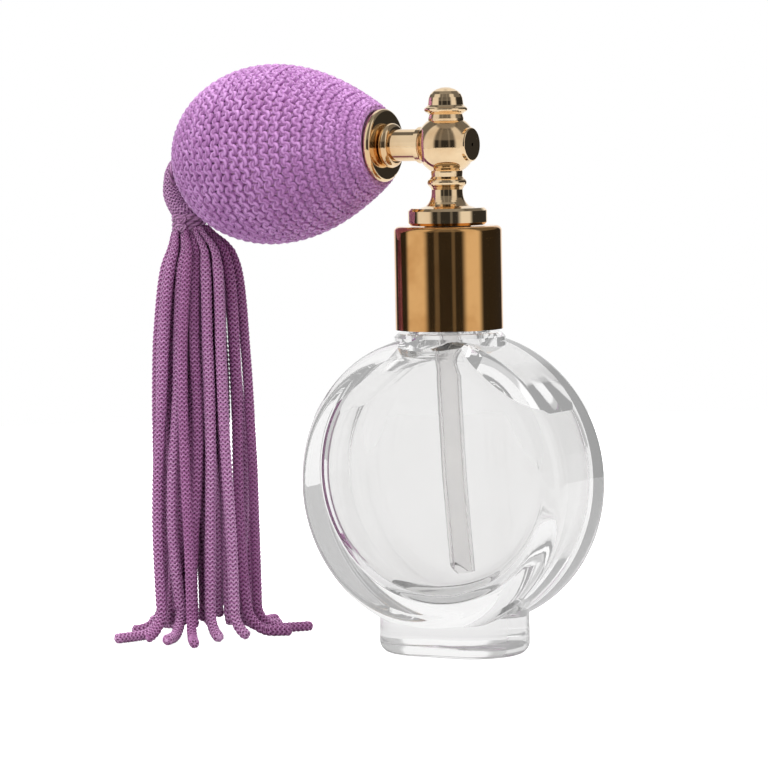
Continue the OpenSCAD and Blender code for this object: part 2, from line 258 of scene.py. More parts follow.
class EffectShelf:
    """Builds each shared effect once and places it in materials."""

    def __init__(self) -> None:
        """Starts with nothing built."""
        self._makers: Dict[Effect, Callable[[], Tree]] = {
            Effect.HANDLING: self._handling,
            Effect.MOULDED: self._moulded,
            Effect.PLIED: self._plied,
            Effect.CHAINED: self._chained,
        }
        self._built: Dict[Effect, Tree] = {}

    def place(self, wiring: Wiring, effect: Effect, **values: float) -> Node:
        """Puts an effect into a material.

        Args:
            wiring: The material's wiring.
            effect: Which effect.
            **values: Values for its named inputs, with _ for a space.

        Returns:
            The group node.
        """
        if effect not in self._built:
            self._built[effect] = self._makers[effect]()
        node = wiring.add("ShaderNodeGroup", node_tree=self._built[effect])
        for name, value in values.items():
            node.inputs[name.replace("_", " ")].default_value = value
        return node

    @staticmethod
    def _open(
        effect: Effect, inputs: Dict[str, float], outputs: Sequence[str]
    ) -> Tuple[Wiring, Node, Node]:
        """Starts a group with float sockets.

        Args:
            effect: The effect that the group is for.
            inputs: Input names with their usual values.
            outputs: Output names.

        Returns:
            Its wiring, its input node and its output node.
        """
        tree = bpy.data.node_groups.new(effect.value, "ShaderNodeTree")
        for name, value in inputs.items():
            socket = tree.interface.new_socket(name, in_out="INPUT", socket_type="NodeSocketFloat")
            socket.default_value = value
        for name in outputs:
            tree.interface.new_socket(name, in_out="OUTPUT", socket_type="NodeSocketFloat")
        wiring = Wiring(tree)
        return wiring, wiring.add("NodeGroupInput"), wiring.add("NodeGroupOutput")

    def _handling(self) -> Tree:
        """Soft smudges, polishing haze and hair-fine scratches on a polished surface.

        Returns:
            The group.
        """
        usual = {"Roughness": 0.05, "Haze": 0.05, "Scale": 1.0}
        w, given, out = self._open(Effect.HANDLING, usual, ("Roughness", "Height", "Smudge"))
        place = w.add("ShaderNodeTexCoord").outputs["Object"]
        smudge = w.spread(w.speckle(place, w.times(given.outputs["Scale"], 160.0), 3.0), 0.42, 0.72)
        hair = w.speckle(place, w.times(given.outputs["Scale"], 900.0), 1.0, (1, 1, 0.06))
        scratch = w.spread(hair, 0.62, 0.72)
        both = w.times(w.plus(smudge, w.times(scratch, 0.35)), given.outputs["Haze"])
        w.give(out, {
            "Roughness": w.plus(given.outputs["Roughness"], both),
            "Height": w.sum("SUBTRACT", w.times(smudge, 0.25), w.times(scratch, 0.5)),
            "Smudge": smudge,
        })
        return w.tree

    def _moulded(self) -> Tree:
        """Fine grain and slow shade changes of a moulded part.

        Returns:
            The group.
        """
        usual = {"Roughness": 0.4, "Grain": 0.1, "Scale": 1.0}
        w, given, out = self._open(Effect.MOULDED, usual, ("Roughness", "Height", "Shade"))
        place = w.add("ShaderNodeTexCoord").outputs["Object"]
        slow = w.speckle(place, w.times(given.outputs["Scale"], 120.0), 2.0)
        grain = w.speckle(place, w.times(given.outputs["Scale"], 2600.0), 2.0)
        rough = w.times(w.sum("SUBTRACT", grain, 0.5), given.outputs["Grain"])
        w.give(out, {
            "Roughness": w.plus(given.outputs["Roughness"], rough),
            "Height": grain,
            "Shade": w.spread(slow, 0.3, 0.7),
        })
        return w.tree

    def _plied(self) -> Tree:
        """Twisted plies and stray fibres, on a thread's own coordinates: millimetres along, turns round.

        Returns:
            The group.
        """
        w, given, out = self._open(Effect.PLIED, {"Plies": 3.0, "Lay": 1.6}, ("Crest", "Height", "Fibre"))
        uv = w.add("ShaderNodeUVMap", uv_map=THREAD_UV).outputs[0]
        parts = w.add("ShaderNodeSeparateXYZ")
        w.feed(parts.inputs[0], uv)
        plies = w.times(parts.outputs[1], given.outputs["Plies"])
        turns = w.plus(plies, w.sum("DIVIDE", parts.outputs[0], given.outputs["Lay"]))
        wave = w.sum("COSINE", w.times(turns, 2 * math.pi))
        crest = w.spread(wave, -0.9, 0.6)
        fibre = w.speckle(uv, 1.0, 3.0, (5.0, 22.0, 1.0))
        w.give(out, {
            "Crest": crest,
            "Fibre": fibre,
            "Height": w.plus(crest, w.times(fibre, 0.5)),
        })
        return w.tree

    def _chained(self) -> Tree:
        """Columns of slanted stitch legs on a narrow knitted cord, on its own coordinates.

        Returns:
            The group.
        """
        usual = {"Columns": 6.0, "Stitch": 0.8}
        w, given, out = self._open(Effect.CHAINED, usual, ("Leg", "Web", "Height", "Fibre"))
        uv = w.add("ShaderNodeUVMap", uv_map=THREAD_UV).outputs[0]
        parts = w.add("ShaderNodeSeparateXYZ")
        w.feed(parts.inputs[0], uv)
        along = w.sum("DIVIDE", parts.outputs[0], given.outputs["Stitch"])
        across = w.times(parts.outputs[1], given.outputs["Columns"])
        rising = w.sum("COSINE", w.times(w.plus(along, across), 2 * math.pi))
        falling = w.sum("COSINE", w.times(w.sum("SUBTRACT", along, across), 2 * math.pi))
        web = w.spread(w.sum("MAXIMUM", rising, falling), -0.85, -0.1)
        fold = w.sum("PINGPONG", across, 0.5)
        leg = w.spread(w.sum("COSINE", w.times(w.plus(along, fold), 2 * math.pi)), -0.35, 0.85)
        fibre = w.speckle(uv, 1.0, 3.0, (9.0, 16.0, 1.0))
        w.give(out, {
            "Leg": leg,
            "Web": web,
            "Fibre": fibre,
            "Height": w.plus(w.plus(leg, web), w.times(fibre, 0.3)),
        })
        return w.tree


EFFECTS = EffectShelf()


def new_material(name: str) -> Tuple[Material, Wiring, Node]:
    """Starts a node material.

    Args:
        name: The finish's name.

    Returns:
        The material, its wiring and its Principled shader.
    """
    material = bpy.data.materials.new(name)
    material.use_nodes = True
    return material, Wiring(material.node_tree), material.node_tree.nodes["Principled BSDF"]


def add_bump(wiring: Wiring, shader: Node, height: Socket, strength: float, depth: float) -> None:
    """Joins a height to a shader's normal.

    Args:
        wiring: The material's wiring.
        shader: Its Principled shader.
        height: The height, from 0 to 1.
        strength: Share of the bump that shows.
        depth: Depth that a height of 1 stands for, in metres.
    """
    bump = wiring.add("ShaderNodeBump")
    bump.inputs["Strength"].default_value = strength
    bump.inputs["Distance"].default_value = depth
    wiring.feed(bump.inputs["Height"], height)
    wiring.feed(shader.inputs["Normal"], bump.outputs[0])


@dataclass(frozen=True)
class PressedGlass:
    """Colourless pressed glass with the slow ripple that a mould leaves.

    Attributes:
        name: The finish's name.
        tint: What one wall lets through.
        ior: How strongly it bends light.
        ripple: Strength of the mould's ripple.
        painted_rim_glow: Painted glow, an emission given to light that bounces on and on inside a thick rim,
            so that it does not end black.
    """

    name: str = "clear_glass"
    tint: Colour = (0.88, 0.877, 0.874)
    ior: float = 1.5
    ripple: float = 0.12
    painted_rim_glow: float = 0.14

    def material(self) -> Material:
        """Builds the glass."""
        material, w, shader = new_material(self.name)
        place = w.add("ShaderNodeTexCoord").outputs["Object"]
        slow = w.speckle(place, 90.0, 1.0)
        w.give(shader, {
            "Base Color": w.mix(w.spread(slow, 0.3, 0.7), self.tint, (0.89, 0.888, 0.886)),
            "Roughness": 0.0,
            "IOR": self.ior,
            "Transmission Weight": 1.0,
        })
        # Painted glow: the glass emits a little light wherever a ray has bounced three or more times in it.
        painted_glow_mask = w.sum("GREATER_THAN", w.add("ShaderNodeLightPath").outputs["Glossy Depth"], 2.5)
        w.give(shader, {
            "Emission Color": w.grey(w.times(painted_glow_mask, self.painted_rim_glow)),
            "Emission Strength": 1.0,
        })
        add_bump(w, shader, slow, self.ripple, 0.0006)
        return material


@dataclass(frozen=True)
class PlatedGold:
    """Mirror-polished gold plating with smudges, haze and fine scratches."""

    name: str
    bright: Colour
    worn: Colour
    roughness: float = 0.045
    haze: float = 0.06
    scale: float = 1.0

    def material(self) -> Material:
        """Builds the plating."""
        material, w, shader = new_material(self.name)
        marks = EFFECTS.place(w, Effect.HANDLING, Roughness=self.roughness, Haze=self.haze, Scale=self.scale)
        w.give(shader, {
            "Base Color": w.mix(marks.outputs["Smudge"], self.bright, self.worn),
            "Metallic": 1.0,
            "Roughness": marks.outputs["Roughness"],
        })
        add_bump(w, shader, marks.outputs["Height"], 0.12, 0.00002)
        return material


@dataclass(frozen=True)
class MouldedPart:
    """Moulded plastic or rubber with fine grain and a slow change of shade."""

    name: str
    light: Colour
    dark: Colour
    roughness: float = 0.4
    grain: float = 0.12
    transmission: float = 0.0
    metallic: float = 0.0
    depth: float = 0.00002
    ior: float = 1.5

    def material(self) -> Material:
        """Builds the moulded surface."""
        material, w, shader = new_material(self.name)
        skin = EFFECTS.place(w, Effect.MOULDED, Roughness=self.roughness, Grain=self.grain)
        w.give(shader, {
            "Base Color": w.mix(skin.outputs["Shade"], self.dark, self.light),
            "Metallic": self.metallic,
            "Transmission Weight": self.transmission,
            "IOR": self.ior,
            "Roughness": skin.outputs["Roughness"],
        })
        add_bump(w, shader, skin.outputs["Height"], 0.25, self.depth)
        return material


@dataclass(frozen=True)
class Yarn:
    """Plied yarn, with painted shade in the grooves of its twist and stray fibres painted lighter as a
    highlight.
    """

    name: str
    # crest is partly a random dye tone and partly a painted highlight on the stray fibres.
    crest: Colour
    body: Colour
    # painted_groove_shade is painted shade: the dark colour laid into the grooves of the twist.
    painted_groove_shade: Colour
    plies: float = 3.0
    lay: float = 1.6
    sheen: float = 0.35
    bloom: Colour = tone(226, 200, 236)

    def material(self) -> Material:
        """Builds the yarn."""
        material, w, shader = new_material(self.name)
        twist = EFFECTS.place(w, Effect.PLIED, Plies=self.plies, Lay=self.lay)
        place = w.add("ShaderNodeTexCoord").outputs["Object"]
        dye = w.spread(w.speckle(place, 260.0, 2.0), 0.3, 0.7)
        body = w.mix(dye, self.body, self.crest)
        # Painted shade: the grooves between the plies take the dark groove colour.
        twist_with_painted_shade = w.mix(twist.outputs["Crest"], self.painted_groove_shade, body)
        # Painted highlight: stray fibres are lightened toward the crest colour.
        stray = w.spread(twist.outputs["Fibre"], 0.35, 0.75)
        w.give(shader, {
            "Base Color": w.mix(w.times(stray, 0.45), twist_with_painted_shade, self.crest),
            "Sheen Weight": self.sheen,
            "Sheen Roughness": 0.4,
            "Sheen Tint": (*self.bloom, 1.0),
            "Roughness": w.spread(twist.outputs["Fibre"], 0.2, 0.8, 0.5, 0.72),
        })
        add_bump(w, shader, twist.outputs["Height"], 0.4, 0.00006)
        return material


@dataclass(frozen=True)
class KnittedCord:
    """Narrow knitted cord: slanted stitch legs with a painted highlight, and painted shade in the holes
    between them.
    """

    name: str
    # leg is a painted highlight: a lit copy of the body colour, laid on the raised stitch legs.
    leg: Colour
    body: Colour
    # painted_hole_shade is painted shade: the dark colour laid into the holes between the stitches.
    painted_hole_shade: Colour
    columns: float = 6.0
    stitch: float = 0.7
    depth: float = 0.00016

    def material(self) -> Material:
        """Builds the cord's surface."""
        material, w, shader = new_material(self.name)
        chain = EFFECTS.place(w, Effect.CHAINED, Columns=self.columns, Stitch=self.stitch)
        place = w.add("ShaderNodeTexCoord").outputs["Object"]
        dye = w.spread(w.speckle(place, 180.0, 2.0, (1, 1, 0.3)), 0.32, 0.68)
        # Painted highlight: the stitch legs take the lighter leg colour, more or less by random dye.
        shown = w.times(chain.outputs["Leg"], w.spread(dye, 0.0, 1.0, 0.55, 0.9))
        leg = w.mix(shown, self.body, self.leg)
        # Painted highlight: stray fibres are lightened toward the leg colour.
        fibre = w.mix(w.spread(chain.outputs["Fibre"], 0.3, 0.8, 0.0, 0.35), leg, self.leg)
        w.give(shader, {
            # Painted shade: the holes of the web take the dark hole colour.
            "Base Color": w.mix(chain.outputs["Web"], self.painted_hole_shade, fibre),
            "Sheen Weight": 0.3,
            "Sheen Roughness": 0.35,
            "Sheen Tint": (*self.leg, 1.0),
            "Roughness": w.spread(chain.outputs["Fibre"], 0.2, 0.8, 0.42, 0.62),
        })
        add_bump(w, shader, chain.outputs["Height"], 0.9, self.depth)
        return material


# ---------------------------------------------------------------- meshes


def deselect() -> None:
    """Leaves nothing selected, in object mode."""
    if bpy.context.object is not None and bpy.context.object.mode != "OBJECT":
        bpy.ops.object.mode_set(mode="OBJECT")
    bpy.ops.object.select_all(action="DESELECT")


def smooth(piece: Piece) -> Piece:
    """Shades every face of a piece smooth."""
    piece.data.polygons.foreach_set("use_smooth", [True] * len(piece.data.polygons))
    return piece


@dataclass
class Thread:
    """A tube swept along a line, with coordinates for yarn patterns: millimetres along it and turns round it.

    Attributes:
        line: Points that it follows, in metres.
        radii: Its radius at each point.
        outward: A direction at each point that its first side faces.
        sides: Sides of the tube.
        closed: Whether the line joins up with its own start.
        swell: Radius factor for each point and side, or None.
    """

    line: np.ndarray
    radii: np.ndarray
    outward: np.ndarray
    sides: int = 6
    closed: bool = False
    swell: Optional[np.ndarray] = None

    def build(self, first: int = 0) -> Tuple[np.ndarray, List[Tuple[int, ...]], np.ndarray]:
        """Makes the tube's vertices, faces and pattern coordinates.

        Args:
            first: Number of its first vertex.

        Returns:
            The vertices, the faces and one pattern coordinate for each face corner.
        """
        count = len(self.line)
        if self.closed:
            run = np.roll(self.line, -1, 0) - np.roll(self.line, 1, 0)
        else:
            run = np.gradient(self.line, axis=0)
        run /= np.linalg.norm(run, axis=1)[:, None]
        up = self.outward - (self.outward * run).sum(1)[:, None] * run
        up /= np.linalg.norm(up, axis=1)[:, None]
        across = np.cross(run, up)
        turn = np.arange(self.sides) * 2 * math.pi / self.sides
        spoke = np.cos(turn)[None, :, None] * up[:, None] + np.sin(turn)[None, :, None] * across[:, None]
        radius = np.repeat(self.radii[:, None], self.sides, 1)
        if self.swell is not None:
            radius = radius * self.swell
        vertices = (self.line[:, None] + radius[:, :, None] * spoke).reshape(-1, 3)
        step = np.linalg.norm(np.diff(np.vstack([self.line, self.line[:1]]), axis=0), axis=1)
        along = np.concatenate([[0.0], np.cumsum(step)]) / MM
        rows = np.arange(count if self.closed else count - 1)
        i, k = np.meshgrid(rows, np.arange(self.sides), indexing="ij")
        i, k = i.ravel(), k.ravel()
        j, m = (i + 1) % count, (k + 1) % self.sides
        near, far = first + i * self.sides, first + j * self.sides
        quads = np.stack([near + k, near + m, far + m, far + k], 1)
        u = np.stack([along[i], along[i], along[i + 1], along[i + 1]], 1)
        v = np.stack([k, k + 1, k + 1, k], 1) / self.sides
        corners = np.stack([u, v], 2).reshape(-1, 2)
        faces: List[Tuple[int, ...]] = [tuple(q) for q in quads.tolist()]
        if not self.closed:
            start = tuple(first + n for n in reversed(range(self.sides)))
            last = first + (count - 1) * self.sides
            faces += [start, tuple(last + n for n in range(self.sides))]
            corners = np.vstack([corners, np.zeros((2 * self.sides, 2))])
        return vertices, faces, corners


def thread_piece(name: str, threads: Sequence[Thread], finish: Material) -> Piece:
    """Makes one piece of one or more swept threads.

    Args:
        name: The piece's name.
        threads: The threads.
        finish: Its material.

    Returns:
        The new object.
    """
    vertices: List[np.ndarray] = []
    faces: List[Tuple[int, ...]] = []
    corners: List[np.ndarray] = []
    total = 0
    for thread in threads:
        points, some_faces, some_corners = thread.build(total)
        vertices.append(points)
        faces += some_faces
        corners.append(some_corners)
        total += len(points)
    mesh = bpy.data.meshes.new(name)
    mesh.from_pydata(np.vstack(vertices).tolist(), [], faces)
    mesh.uv_layers.new(name=THREAD_UV).data.foreach_set("uv", np.vstack(corners).ravel())
    mesh.materials.append(finish)
    piece = bpy.data.objects.new(name, mesh)
    bpy.context.scene.collection.objects.link(piece)
    return smooth(piece)


def chain_swell(
    along: np.ndarray, stitch: float, sides: int, columns: int = 6, depth: float = 0.12
) -> np.ndarray:
    """Raises the crossing legs of a knitted cord and sinks its holes.

    Args:
        along: Distance along the cord at each point.
        stitch: Length of one stitch.
        sides: Sides of the cord's tube.
        columns: Stitches round the cord.
        depth: Share of the radius that the relief takes up.

    Returns:
        A radius factor for each point and side.
    """
    column = np.arange(sides)[None, :] / sides * columns
    row = along[:, None] / stitch
    web = np.maximum(np.cos(2 * math.pi * (row + column)), np.cos(2 * math.pi * (row - column)))
    leg = np.cos(2 * math.pi * (row + 0.5 - np.abs(column % 1 - 0.5)))
    return 1 + depth * (0.5 * web + 0.6 * leg - 0.5)


def eased(points: Sequence[Sequence[float]], count: int) -> np.ndarray:
    """Draws a smooth line through a few points.

    Args:
        points: The points, in order.
        count: How many evenly spaced points the line gets.

    Returns:
        The line's points.
    """
    given = np.array(points, float)
    padded = np.vstack([2 * given[0] - given[1], given, 2 * given[-1] - given[-2]])
    fine: List[np.ndarray] = []
    for i in range(1, len(padded) - 2):
        a, b, c, d = padded[i - 1 : i + 3]
        t = np.linspace(0, 1, 40, endpoint=i == len(padded) - 3)[:, None]
        square, cube = (2 * a - 5 * b + 4 * c - d) * t**2, (3 * b - a - 3 * c + d) * t**3
        fine.append(0.5 * (2 * b + (c - a) * t + square + cube))
    return respaced(np.vstack(fine), count)


def respaced(line: np.ndarray, count: int) -> np.ndarray:
    """Spaces a line's points evenly.

    Args:
        line: The line's points.
        count: How many points it gets.

    Returns:
        The new points.
    """
    reach = np.concatenate([[0.0], np.cumsum(np.linalg.norm(np.diff(line, axis=0), axis=1))])
    wanted = np.linspace(0, reach[-1], count)
    return np.stack([np.interp(wanted, reach, line[:, axis]) for axis in range(3)], 1)


# ---------------------------------------------------------------- studio


@dataclass
class Studio:
    """Pale floor, soft light from all round with darker sides, and the camera."""

    aim: Tuple[float, float, float] = (-8.43, -4.87, 39.76)
    height: float = 82.0
    distance: float = 561.5
    azimuth: float = 30.0
    roll: float = -1.05
    lens: float = 180.0

    def camera(self) -> Piece:
        """Sets the camera up.

        Returns:
            The camera.
        """
        turn = math.radians(self.azimuth)
        toward = Vector((math.sin(turn), -math.cos(turn), 0.0))
        target = Vector(self.aim) * MM
        data = bpy.data.cameras.new("camera")
        data.lens = self.lens
        data.sensor_width = 36.0
        data.clip_start = 0.05
        camera = bpy.data.objects.new("camera", data)
        bpy.context.scene.collection.objects.link(camera)
        spot = target + toward * self.distance * MM
        spot.z = self.height * MM
        camera.location = spot
        look = (target - spot).to_track_quat("-Z", "Y").to_matrix()
        camera.rotation_euler = (look @ Matrix.Rotation(math.radians(self.roll), 3, "Z")).to_euler()
        bpy.context.scene.camera = camera
        return camera

    def floor(self) -> Piece:
        """Lays the floor.

        Returns:
            The floor.
        """
        deselect()
        bpy.ops.mesh.primitive_circle_add(vertices=96, radius=0.42, fill_type="NGON", location=(0, 0, 0))
        floor = bpy.context.object
        floor.name = "studio_floor"
        material, w, shader = new_material("pale_floor")
        place = w.add("ShaderNodeTexCoord").outputs["Object"]
        cloud = w.spread(w.speckle(place, 12.0, 2.0), 0.3, 0.7)
        rays = w.add("ShaderNodeLightPath")
        paper = w.mix(cloud, (0.5, 0.5, 0.5), (0.53, 0.53, 0.53))
        card = w.mix(rays.outputs["Is Transmission Ray"], paper, (0.25, 0.25, 0.25))
        w.give(shader, {
            "Base Color": card,
            "Roughness": 0.7,
        })
        lit = w.blend(rays.outputs["Is Transmission Ray"], rays.outputs["Is Camera Ray"], 0.55)
        w.give(shader, {
            "Emission Color": w.grey(lit),
            "Emission Strength": 1.0,
        })
        floor.data.materials.append(material)
        return floor

    def light(self) -> None:
        """Lights the studio from all round: bright boxes beside and above, dark gaps between them."""
        world = bpy.data.worlds.new("studio")
        bpy.context.scene.world = world
        world.use_nodes = True
        w = Wiring(world.node_tree)
        background = world.node_tree.nodes["Background"]
        mapping = w.add("ShaderNodeMapping", vector_type="POINT")
        mapping.inputs["Rotation"].default_value = (0, 0, math.radians(90 - self.azimuth))
        w.feed(mapping.inputs["Vector"], w.add("ShaderNodeTexCoord").outputs["Generated"])
        parts = w.add("ShaderNodeSeparateXYZ")
        w.feed(parts.inputs[0], mapping.outputs[0])
        angle = w.times(w.sum("ARCTAN2", parts.outputs[1], parts.outputs[0]), 180 / math.pi)
        round_it = w.sum("ABSOLUTE", angle)
        height = w.times(w.sum("ARCSINE", parts.outputs[2]), 180 / math.pi)
        left = w.times(w.spread(angle, -106.0, -92.0), w.spread(angle, -42.0, -58.0))
        right = w.times(w.spread(angle, 26.0, 42.0), w.spread(angle, 80.0, 64.0))
        back = w.spread(round_it, 148.0, 158.0)
        faint = w.plus(w.strip(angle, -26.0, 7.0), w.strip(angle, 10.0, 5.0))
        boxes = w.plus(w.times(w.plus(left, right), 0.85), back)
        sides = w.plus(w.plus(boxes, w.times(faint, 0.12)), 0.035)
        over = w.times(w.spread(height, 15.0, 21.0), w.spread(height, 66.0, 56.0))
        above = w.plus(w.times(sides, 0.75), 0.16)
        mirrored = w.blend(w.spread(height, 58.0, 68.0), w.blend(over, sides, above), 0.3)
        soft = w.spread(height, 32.0, 48.0, 0.6, 3.03)
        rays = w.add("ShaderNodeLightPath")
        through = w.blend(back, w.sum("MAXIMUM", mirrored, 0.62), 1.07)
        level = w.blend(rays.outputs["Is Glossy Ray"], soft, mirrored)
        level = w.blend(rays.outputs["Is Transmission Ray"], level, through)
        shown = w.mix(rays.outputs["Is Camera Ray"], w.grey(level), (1.0, 1.0, 1.0))
        w.feed(background.inputs["Color"], shown)
        scene = bpy.context.scene
        scene.view_settings.view_transform = "Standard"
        scene.view_settings.look = "None"


# ---------------------------------------------------------------- squeeze bulb


@dataclass
class BulbShape:
    """Place and outline of the squeeze bulb, measured from its mouth at the flange.

    Attributes:
        mouth: Centre of the mouth.
        axis: Direction from the mouth to the tail.
        length: Length of the knitted cover.
        widest: Distance of the belly from the mouth.
        mouth_radius: Radius at the mouth.
        belly_radius: Radius at the belly.
    """

    mouth: Vector
    axis: Vector
    length: float = 34.4 * MM
    widest: float = 18.6 * MM
    mouth_radius: float = 5.95 * MM
    belly_radius: float = 13.4 * MM

    def radius(self, s: float) -> float:
        """Gives the cover's radius at a distance from the mouth.

        Args:
            s: The distance.

        Returns:
            The radius.
        """
        if s < self.widest:
            share = (max(s, 0.0) / self.widest) ** 0.93
            return self.mouth_radius + (self.belly_radius - self.mouth_radius) * math.sin(math.pi / 2 * share)
        beyond = (s - self.widest) / (self.length - self.widest)
        return self.belly_radius * math.sqrt(max(0.0, 1 - beyond**2))

    def meridian(self, count: int = 1200) -> Tuple[np.ndarray, np.ndarray, np.ndarray]:
        """Follows the cover from the mouth to the tail.

        Args:
            count: Points on the way.

        Returns:
            Distances along the axis, radii and arc lengths.
        """
        front = np.linspace(0, self.widest, count // 2, endpoint=False)
        back = self.widest + (self.length - self.widest) * np.sin(np.linspace(0, math.pi / 2, count // 2))
        s = np.concatenate([front, back])
        r = np.array([self.radius(v) for v in s])
        arc = np.concatenate([[0.0], np.cumsum(np.hypot(np.diff(s), np.diff(r)))])
        return s, r, arc

    def basis(self) -> Tuple[np.ndarray, np.ndarray, np.ndarray]:
        """Gives the axis and the two directions across it.

        Returns:
            Axis, sideways and upward unit vectors.
        """
        along = np.array(self.axis.normalized())
        side = np.array((0.0, 1.0, 0.0))
        return along, side, np.cross(along, side)


@dataclass
class RubberBulb:
    """The mauve rubber bulb that shows through the holes of the knit."""

    shape: BulbShape
    inset: float = 0.62 * MM
    segments: int = 64
    rings: int = 26
    hem: float = 1.4 * MM

    def build(self, finish: Material) -> Piece:
        """Pulls the bulb out ring by ring from a circle at its mouth.

        Args:
            finish: Its rubber.

        Returns:
            The bulb.
        """
        s, r, _ = self.shape.meridian()
        body = np.linspace(0, 1, self.rings)
        stations = np.interp(body, np.linspace(0, 1, len(s)), s) * (1 - self.inset / self.shape.length)
        stations = np.clip(stations, self.hem, None)
        stretch = self.shape.length / (self.shape.length - self.inset)
        widths = [max(float(np.interp(v * stretch, s, r)) - self.inset, 0.05 * MM) for v in stations]
        axis = self.shape.axis.normalized()
        turn = axis.to_track_quat("Z", "Y").to_euler()
        start = self.shape.mouth + axis * float(stations[0])
        deselect()
        bpy.ops.mesh.primitive_circle_add(
            vertices=self.segments, radius=widths[0], fill_type="NGON", location=start, rotation=turn
        )
        piece = bpy.context.object
        piece.name = "rubber_bulb_skin"
        bpy.ops.object.transform_apply(location=True, rotation=True, scale=True)
        bpy.ops.object.mode_set(mode="EDIT")
        bpy.ops.mesh.select_all(action="SELECT")
        previous = float(stations[0])
        width = widths[0]
        for station, wanted in zip(stations[1:], widths[1:]):
            step = axis * (float(station) - previous)
            bpy.ops.mesh.extrude_region_move(TRANSFORM_OT_translate={"value": step})
            factor = wanted / width
            centre = self.shape.mouth + axis * float(station)
            bpy.ops.transform.resize(value=(factor, factor, factor), center_override=centre)
            previous, width = float(station), wanted
        bpy.ops.mesh.merge(type="CENTER")
        bpy.ops.mesh.select_all(action="SELECT")
        bpy.ops.mesh.remove_doubles(threshold=0.000005)
        bpy.ops.mesh.normals_make_consistent(inside=False)
        bpy.ops.object.mode_set(mode="OBJECT")
        bpy.ops.object.shade_smooth_by_angle(angle=math.radians(50))
        piece.data.materials.append(finish)
        return piece


@dataclass
class KnitCover:
    """The yarn cover on the bulb: rings of loops whose heads and feet stand outside.

    Attributes:
        shape: The bulb that it covers.
        wales: Loops in one ring.
        course: Distance from one ring of loops to the next.
        yarn: Radius of the yarn.
        samples: Points along each loop.
    """

    shape: BulbShape
    wales: int = 46
    course: float = 1.65 * MM
    yarn: float = 0.4 * MM
    samples: int = 16
    sides: int = 8

    def rings(self) -> List[Thread]:
        """Knits one closed thread for each ring of loops.

        Returns:
            The threads, from the mouth to the tail.
        """
        s, r, arc = self.shape.meridian()
        along, side, up = self.shape.basis()
        mouth = np.array(self.shape.mouth)
        slope_s, slope_r = np.gradient(s, arc), np.gradient(r, arc)
        total = float(arc[-1])
        first, last = 0.4 * MM, total - 0.55 * MM
        count = round((last - first) / self.course)
        course = (last - first) / count
        chance = random.Random(41)
        rings = [self._binding(mouth, along, side, up)]
        for row in range(count + 1):
            wale, sample = np.divmod(np.arange(self.wales * self.samples), self.samples)
            t = sample * 2 * math.pi / self.samples
            sway = np.array([chance.uniform(-0.09, 0.09) for _ in range(self.wales)])[wale]
            angle = (2 * math.pi * wale + t + 0.19 * 2 * math.pi * np.sin(2 * t) + sway) / self.wales
            middle = first + row * course
            tall = np.array([chance.uniform(0.7, 0.82) for _ in range(self.wales)])[wale]
            place = np.clip(middle + tall * course * np.cos(t), 0.3 * MM, total - 0.15 * MM)
            ring_r = np.interp(place, arc, r)
            ring_s = np.interp(place, arc, s)
            out_s, out_r = -np.interp(place, arc, slope_r), np.interp(place, arc, slope_s)
            thin = np.clip(ring_r / (6.5 * MM), 0.3, 1.0)
            lift = (-0.5 + 0.24 * np.cos(2 * t)) * MM * np.clip(thin, 0.55, 1.0)
            spoke = np.cos(angle)[:, None] * side + np.sin(angle)[:, None] * up
            out = out_s[:, None] * along + out_r[:, None] * spoke
            ring = mouth + ring_s[:, None] * along + ring_r[:, None] * spoke
            thick = self.yarn * np.clip(thin, 0.5, 1.0)
            rings.append(Thread(ring + lift[:, None] * out, thick, out, self.sides, True))
        return rings

    def _binding(self, mouth: np.ndarray, along: np.ndarray, side: np.ndarray, up: np.ndarray) -> Thread:
        """Draws the gathered edge round the mouth, right behind the flange.

        Args:
            mouth: Centre of the bulb's mouth.
            along: The bulb's axis.
            side: Sideways direction.
            up: Upward direction.

        Returns:
            The thread.
        """
        turn = np.linspace(0, 2 * math.pi, 180, endpoint=False)
        out = np.cos(turn)[:, None] * side + np.sin(turn)[:, None] * up
        thick = 0.42 * MM
        line = mouth + (thick + 0.03 * MM) * along + (self.shape.mouth_radius - 1.2 * thick) * out
        return Thread(line, np.full(180, thick), out, self.sides, True)

    def build(self, finish: Material) -> List[Piece]:
        """Makes the cover in three bands, each small enough to keep its full detail.

        Args:
            finish: Its yarn.

        Returns:
            The bands.
        """
        rings = self.rings()
        third = math.ceil(len(rings) / 3)
        names = ("knit_cover_front", "knit_cover_belly", "knit_cover_tail")
        bands = [rings[n * third : (n + 1) * third] for n in range(len(names))]
        return [thread_piece(name, band, finish) for name, band in zip(names, bands)]


# ---------------------------------------------------------------- tassel


@dataclass
class TasselShape:
    """Places of the tassel's tie, eye and skirt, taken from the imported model."""

    eye: Vector
    pin: Vector
    tie_centre: Vector
    tie_radius: float
    tie_top: float
    tie_bottom: float
    skirt_centre: float


@dataclass
class SkirtCord:
    """One hanging cord of the tassel: where it hangs, how long it is and how its end lies."""

    number: int
    spot: np.ndarray
    diameter: float
    spare: float
    kick: float


